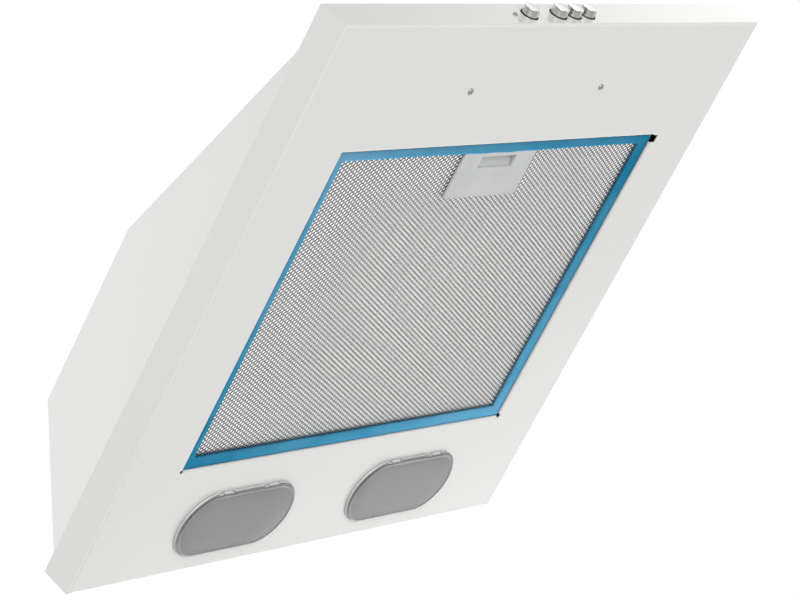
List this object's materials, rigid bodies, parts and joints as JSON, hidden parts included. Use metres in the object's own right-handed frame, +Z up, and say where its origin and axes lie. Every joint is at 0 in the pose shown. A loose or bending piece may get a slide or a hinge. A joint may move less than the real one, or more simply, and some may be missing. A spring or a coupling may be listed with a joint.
{
  "type": "under cabinet range hood",
  "caption": "Slim under cabinet cooker hood with a hip shaped steel body, hinged grease filter, oval lamp covers, push buttons, centrifugal blower and duct collar with flaps.",
  "frame": {"origin": "centre of the four cabinet screw holes, on the outside of the flat top", "axes": "+Z up, +Y to the wall behind the hood, +X to the right seen from the front"},
  "size_m": [0.5, 0.4905, 0.2293],
  "materials": {
    "enamel": "gloss white enamel on steel sheet",
    "galvanised": "plain zinc coated steel",
    "chrome": "polished plated metal",
    "aluminium": "bright rolled aluminium",
    "film": "thin blue protective film, still on the frame",
    "handle_plastic": "light grey moulded plastic, fine grain",
    "lamp_lens": "smoke grey translucent plastic with a clear glossy rim",
    "housing_plastic": "grey moulded plastic",
    "dark_plastic": "black moulded plastic",
    "duct_plastic": "dark grey moulded plastic",
    "rubber": "black rubber",
    "white_plastic": "white moulded plastic",
    "bulb_glass": "frosted glass with a metal screw cap",
    "indicator": "dark olive lens"
  },
  "bodies": {
    "housing": {"bottom_tray": "enamel", "front_panel": "enamel", "side_panel_left": "enamel", "side_panel_right": "enamel", "top_plate": "enamel", "back_panel": "enamel", "outlet_collar": "duct_plastic", "collar_screws": "galvanised", "flap_pin": "galvanised", "duct_transition": "housing_plastic", "scroll_left": "housing_plastic", "scroll_right": "housing_plastic", "inlet_guard": "dark_plastic", "motor_body": "aluminium", "motor_bracket": "galvanised", "motor_bushes": "rubber", "motor_screws": "galvanised", "capacitor": "white_plastic", "capacitor_clip": "galvanised", "terminal_box": "white_plastic", "terminal_cover": "white_plastic", "cable_gland": "dark_plastic", "switch_block": "dark_plastic", "switch_bracket": "galvanised", "button_guide": "dark_plastic", "indicator_lens": "indicator", "panel_screws": "galvanised", "lamp_box_left": "galvanised", "lamp_box_right": "galvanised", "lamp_holder_left": "white_plastic", "lamp_holder_right": "white_plastic", "bulb_left": "bulb_glass", "bulb_right": "bulb_glass"},
    "filter": {"filter_frame": "aluminium", "protective_film": "film", "filter_mesh_lower": "aluminium", "filter_pack": "aluminium", "filter_mesh_upper": "aluminium", "filter_handle": "handle_plastic", "filter_pins": "galvanised"},
    "latch": {"filter_latch": "handle_plastic"},
    "impeller": {"impeller": "dark_plastic", "motor_shaft": "galvanised"},
    "flap_front": {"flap_front": "duct_plastic"},
    "flap_rear": {"flap_rear": "duct_plastic"},
    "button_light": {"button_light": "chrome"},
    "button_speed_1": {"button_speed_1": "chrome"},
    "button_speed_2": {"button_speed_2": "chrome"},
    "button_speed_3": {"button_speed_3": "chrome"},
    "lamp_cover_left": {"lamp_cover_left": "lamp_lens"},
    "lamp_cover_right": {"lamp_cover_right": "lamp_lens"}
  },
  "joints": [
    {"name": "filter_hinge", "type": "hinge", "parent": "housing", "child": "filter", "pos_m": [0, -0.026, -0.2014], "axis": [1, 0, 0], "range_deg": [0, 80]},
    {"name": "latch_slide", "type": "slide", "parent": "filter", "child": "latch", "axis": [0, 1, 0], "range_m": [0, 0.004], "stiffness_N_per_m": 300, "springref_m": -0.004},
    {"name": "impeller_spin", "type": "hinge", "parent": "housing", "child": "impeller", "pos_m": [0, -0.04625, -0.1], "axis": [1, 0, 0], "continuous": true},
    {"name": "flap_front_hinge", "type": "hinge", "parent": "housing", "child": "flap_front", "pos_m": [0, 0, 0.008], "axis": [-1, 0, 0], "range_deg": [0, 70]},
    {"name": "flap_rear_hinge", "type": "hinge", "parent": "housing", "child": "flap_rear", "pos_m": [0, 0, 0.008], "axis": [1, 0, 0], "range_deg": [0, 70]},
    {"name": "button_light_push", "type": "slide", "parent": "housing", "child": "button_light", "axis": [0, 1, 0], "range_m": [0, 0.0035], "stiffness_N_per_m": 500, "springref_m": -0.002},
    {"name": "button_speed_1_push", "type": "slide", "parent": "housing", "child": "button_speed_1", "axis": [0, 1, 0], "range_m": [0, 0.0035], "stiffness_N_per_m": 500, "springref_m": -0.002},
    {"name": "button_speed_2_push", "type": "slide", "parent": "housing", "child": "button_speed_2", "axis": [0, 1, 0], "range_m": [0, 0.0035], "stiffness_N_per_m": 500, "springref_m": -0.002},
    {"name": "button_speed_3_push", "type": "slide", "parent": "housing", "child": "button_speed_3", "axis": [0, 1, 0], "range_m": [0, 0.0035], "stiffness_N_per_m": 500, "springref_m": -0.002},
    {"name": "lamp_cover_left_hinge", "type": "hinge", "parent": "housing", "child": "lamp_cover_left", "pos_m": [-0.0985, 0.0655, -0.2078], "axis": [1, 0, 0], "range_deg": [0, 75]},
    {"name": "lamp_cover_right_hinge", "type": "hinge", "parent": "housing", "child": "lamp_cover_right", "pos_m": [0.0985, 0.0655, -0.2078], "axis": [1, 0, 0], "range_deg": [0, 75]}
  ]
}
